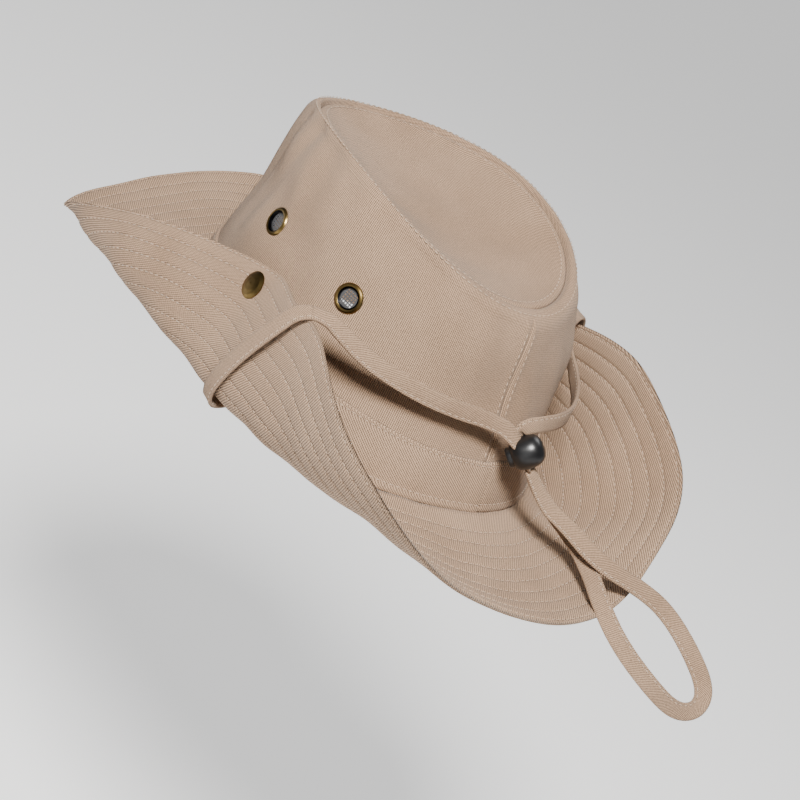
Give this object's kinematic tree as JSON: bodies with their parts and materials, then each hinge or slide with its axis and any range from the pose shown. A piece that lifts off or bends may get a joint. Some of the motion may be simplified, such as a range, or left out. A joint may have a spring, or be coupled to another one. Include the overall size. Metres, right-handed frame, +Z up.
{
  "type": "boonie hat",
  "caption": "Cotton twill boonie hat with a dished tip, side brims snapped up to the crown, and a chin tape with a cord lock.",
  "frame": {"origin": "centre of the head opening, level with the seam between crown and brim", "axes": "+X to the front of the hat, +Y to the wearer's left, +Z up"},
  "size_m": [0.3693, 0.2156, 0.125],
  "materials": {
    "khaki_twill": "cotton twill, matt",
    "sweatband_cloth": "plain cotton, matt",
    "tape": "folded and stitched cotton twill tape",
    "antique_brass": "antique, darkened and rubbed",
    "eyelet_mesh": "black wire mesh",
    "black_plastic": "moulded, satin black",
    "spring_steel": "plain wire"
  },
  "bodies": {
    "crown": {"brim_under_layer": "khaki_twill", "brim_upper_layer": "khaki_twill", "crown_left_panel": "khaki_twill", "crown_right_panel": "khaki_twill", "crown_tip": "khaki_twill", "hatband": "khaki_twill", "left_back_eyelet_mesh": "eyelet_mesh", "left_back_eyelet_ring": "antique_brass", "left_back_eyelet_washer": "antique_brass", "left_front_eyelet_mesh": "eyelet_mesh", "left_front_eyelet_ring": "antique_brass", "left_front_eyelet_washer": "antique_brass", "left_snap_post": "antique_brass", "left_snap_stud": "antique_brass", "right_back_eyelet_mesh": "eyelet_mesh", "right_back_eyelet_ring": "antique_brass", "right_back_eyelet_washer": "antique_brass", "right_front_eyelet_mesh": "eyelet_mesh", "right_front_eyelet_ring": "antique_brass", "right_front_eyelet_washer": "antique_brass", "right_snap_post": "antique_brass", "right_snap_stud": "antique_brass", "sweatband": "sweatband_cloth", "tape_left_end": "tape", "tape_left_run": "tape", "tape_loop": "tape", "tape_right_end": "tape", "tape_right_run": "tape"},
    "right_flap": {"right_flap_under_layer": "khaki_twill", "right_flap_upper_layer": "khaki_twill", "right_snap_cap": "antique_brass", "right_snap_socket": "antique_brass", "tape_right_wrap": "tape"},
    "left_flap": {"left_flap_under_layer": "khaki_twill", "left_flap_upper_layer": "khaki_twill", "left_snap_cap": "antique_brass", "left_snap_socket": "antique_brass", "tape_left_wrap": "tape"},
    "cord_lock": {"cord_lock_body": "black_plastic", "cord_lock_spring": "spring_steel"},
    "lock_plunger": {"cord_lock_plunger": "black_plastic"}
  },
  "joints": [
    {"name": "right_flap_hinge", "type": "hinge", "parent": "crown", "child": "right_flap", "pos_m": [0, -0.091, -0.0068], "axis": [0.9991, 0, 0.0416], "range_deg": [0, 110]},
    {"name": "left_flap_hinge", "type": "hinge", "parent": "crown", "child": "left_flap", "pos_m": [0, 0.091, -0.0068], "axis": [-0.9991, 0, -0.0416], "range_deg": [0, 110]},
    {"name": "cord_lock_slide", "type": "slide", "parent": "crown", "child": "cord_lock", "axis": [0.4504, 0.6006, -0.6606], "range_m": [0, 0.012]},
    {"name": "plunger_press", "type": "slide", "parent": "cord_lock", "child": "lock_plunger", "axis": [0.3636, 0.5524, 0.7501], "range_m": [0, 0.0025], "stiffness_N_per_m": 400, "springref_m": -0.004, "deforming": ["cord_lock_spring"]}
  ]
}
